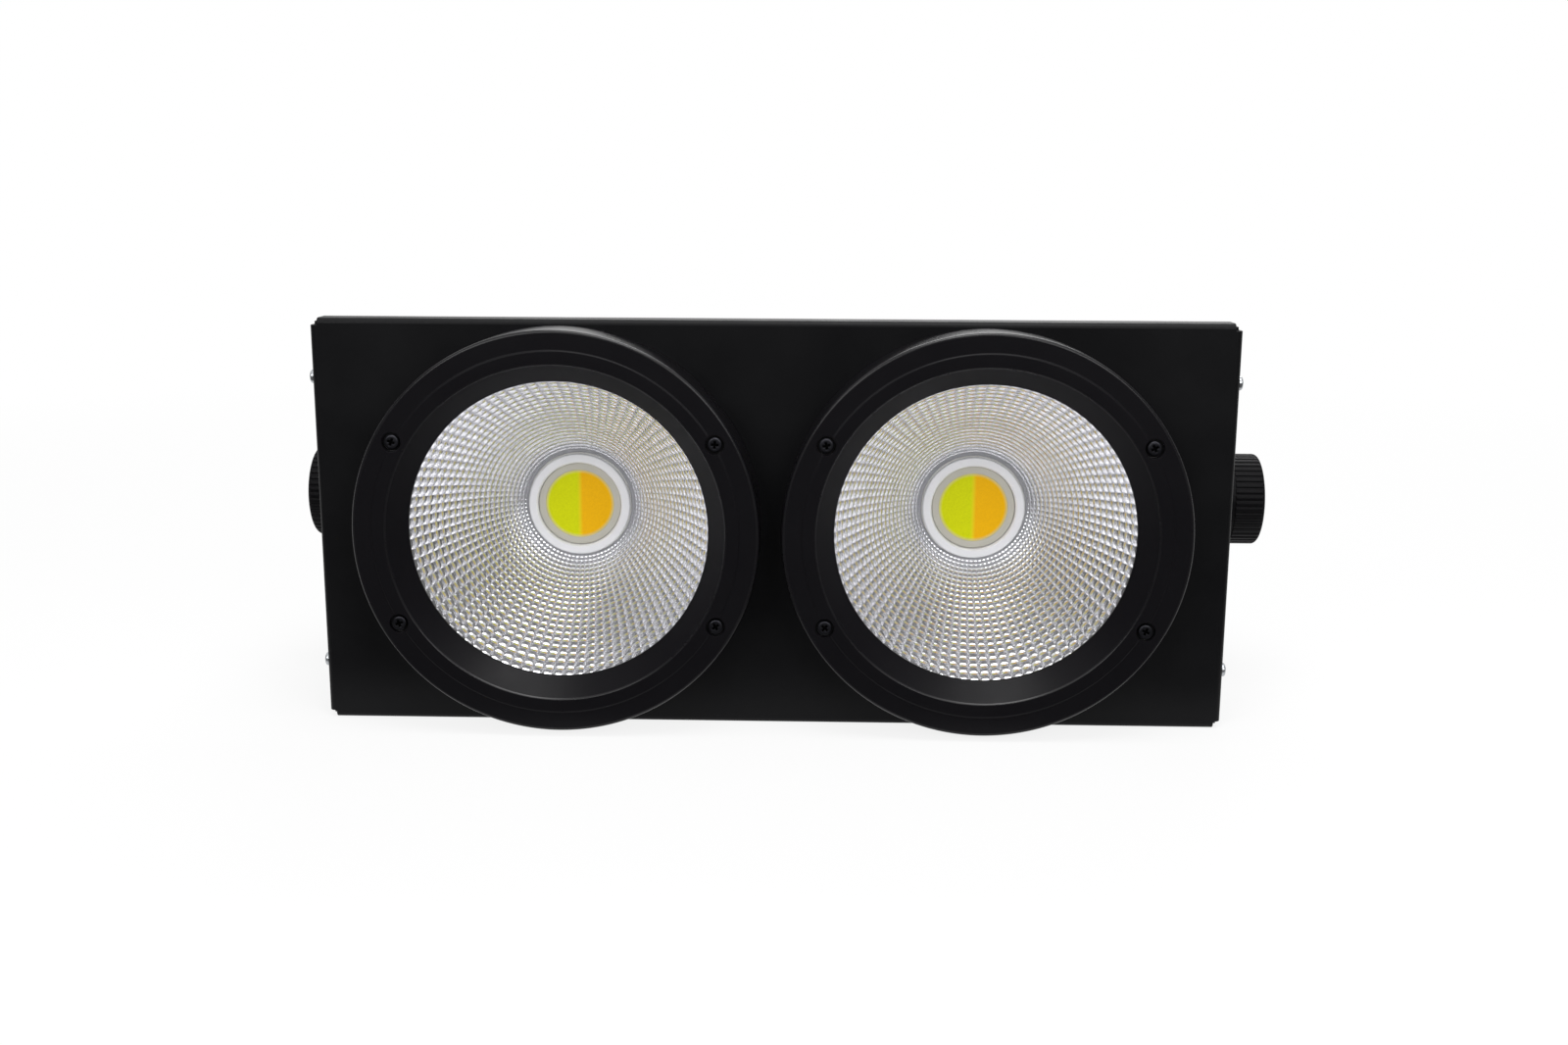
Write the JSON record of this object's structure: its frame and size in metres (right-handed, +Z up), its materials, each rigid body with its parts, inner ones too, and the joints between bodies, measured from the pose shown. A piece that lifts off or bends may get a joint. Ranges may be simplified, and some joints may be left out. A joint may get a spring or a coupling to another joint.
{
  "type": "audience blinder light",
  "caption": "Twin round audience blinder in a folded box, with facetted reflectors, deep bezels, a rear connection panel, cooling fans and a tilting yoke.",
  "frame": {"origin": "on the floor, at the middle of the underside of the front tray's bottom rim", "axes": "+X to the right as seen from the front, -Y the way the lamps face, +Z up"},
  "size_m": [0.52, 0.2646, 0.2068],
  "materials": {
    "housing": "satin black powder coat with a fine orange-peel texture",
    "bezel": "moulded black plastic with a satin surface",
    "black_screw": "blackened steel, satin",
    "plated_screw": "zinc-plated steel",
    "reflector": "vacuum-metallised facets, bright silver",
    "holder": "white heat-resistant moulding",
    "dam": "grey-beige silicone",
    "cool_phosphor": "yellow-green phosphor in silicone",
    "warm_phosphor": "orange phosphor in silicone",
    "emitter_board": "aluminium board with white solder mask",
    "heat_sink": "plain extruded aluminium",
    "chassis": "galvanised sheet",
    "fan_plastic": "black glass-filled plastic",
    "guard_wire": "black coated steel wire",
    "circuit_board": "green epoxy-glass board with its parts",
    "standoff": "turned brass pillars",
    "display": "dark red segment display",
    "window": "clear tinted plastic",
    "button": "black moulded caps",
    "power_socket_blue": "blue moulding",
    "power_socket_grey": "light grey moulding",
    "signal_socket": "black die-cast shell",
    "latch": "black moulded tab",
    "fuse_holder": "black moulding",
    "bracket": "satin black powder coat",
    "yoke": "satin black powder coat on flat steel",
    "friction_disc": "dark hard rubber",
    "steel": "zinc-plated steel",
    "knob": "ribbed black moulding",
    "power_lead": "insulated wire",
    "lamp_lead": "insulated wire",
    "control_lead": "insulated wire"
  },
  "bodies": {
    "housing": {"bezel_left": "bezel", "bezel_nuts": "plated_screw", "bezel_right": "bezel", "bezel_screws": "black_screw", "board_standoffs": "standoff", "chassis_plate": "chassis", "control_board": "circuit_board", "control_leads": "control_lead", "cool_phosphors": "cool_phosphor", "dam_rings": "dam", "display_module": "display", "display_window": "window", "driver_board": "circuit_board", "emitter_board_left": "emitter_board", "emitter_board_right": "emitter_board", "fan_frame_left": "fan_plastic", "fan_frame_right": "fan_plastic", "fan_guards": "guard_wire", "fan_screws": "black_screw", "friction_discs": "friction_disc", "front_tray": "housing", "fuse_holder": "fuse_holder", "heat_sink_left": "heat_sink", "heat_sink_right": "heat_sink", "holder_ring_left": "holder", "holder_ring_right": "holder", "lamp_leads": "lamp_lead", "pivot_nuts": "steel", "power_inlet": "power_socket_blue", "power_leads": "power_lead", "power_outlet": "power_socket_grey", "power_supply": "circuit_board", "rear_shell": "housing", "reflector_left": "reflector", "reflector_right": "reflector", "safety_bracket": "bracket", "shell_screws": "black_screw", "side_plate_left": "housing", "side_plate_right": "housing", "signal_inlet": "signal_socket", "signal_outlet": "signal_socket", "sink_screws": "plated_screw", "socket_screws": "black_screw", "tray_screws": "plated_screw", "warm_phosphors": "warm_phosphor"},
    "yoke": {"yoke": "yoke", "knob_washers": "steel"},
    "knob_left": {"knob_left": "knob", "knob_stud_left": "steel"},
    "knob_right": {"knob_right": "knob", "knob_stud_right": "steel"},
    "fan_rotor_left": {"fan_rotor_left": "fan_plastic"},
    "fan_rotor_right": {"fan_rotor_right": "fan_plastic"},
    "menu_button": {"menu_button": "button"},
    "down_button": {"down_button": "button"},
    "up_button": {"up_button": "button"},
    "enter_button": {"enter_button": "button"},
    "signal_latch": {"signal_latch": "latch"},
    "fuse_cap": {"fuse_cap": "fuse_holder"}
  },
  "joints": [
    {"name": "yoke_tilt", "type": "hinge", "parent": "housing", "child": "yoke", "pos_m": [0, 0.08225, 0.1034], "axis": [1, 0, 0], "range_deg": [-57, 212]},
    {"name": "knob_left_turn", "type": "hinge", "parent": "housing", "child": "knob_left", "pos_m": [-0.2473, 0.08225, 0.1034], "axis": [-1, 0, 0], "range_deg": [0, 360]},
    {"name": "knob_right_turn", "type": "hinge", "parent": "housing", "child": "knob_right", "pos_m": [0.2541, 0.08225, 0.1034], "axis": [1, 0, 0], "range_deg": [-360, 360]},
    {"name": "fan_left_spin", "type": "hinge", "parent": "housing", "child": "fan_rotor_left", "pos_m": [-0.10575, 0.112, 0.1034], "axis": [0, 1, 0], "continuous": true},
    {"name": "fan_right_spin", "type": "hinge", "parent": "housing", "child": "fan_rotor_right", "pos_m": [0.10575, 0.112, 0.1034], "axis": [0, 1, 0], "continuous": true},
    {"name": "menu_button_press", "type": "slide", "parent": "housing", "child": "menu_button", "axis": [0, -1, 0], "range_m": [0, 0.0008], "stiffness_N_per_m": 400, "springref_m": -0.001},
    {"name": "down_button_press", "type": "slide", "parent": "housing", "child": "down_button", "axis": [0, -1, 0], "range_m": [0, 0.0008], "stiffness_N_per_m": 400, "springref_m": -0.001},
    {"name": "up_button_press", "type": "slide", "parent": "housing", "child": "up_button", "axis": [0, -1, 0], "range_m": [0, 0.0008], "stiffness_N_per_m": 400, "springref_m": -0.001},
    {"name": "enter_button_press", "type": "slide", "parent": "housing", "child": "enter_button", "axis": [0, -1, 0], "range_m": [0, 0.0008], "stiffness_N_per_m": 400, "springref_m": -0.001},
    {"name": "signal_latch_press", "type": "slide", "parent": "housing", "child": "signal_latch", "axis": [0, -1, 0], "range_m": [0, 0.0012], "stiffness_N_per_m": 400, "springref_m": -0.001},
    {"name": "fuse_cap_turn", "type": "hinge", "parent": "housing", "child": "fuse_cap", "pos_m": [0.16, 0.12475, 0.1034], "axis": [0, 1, 0], "range_deg": [0, 90]}
  ]
}
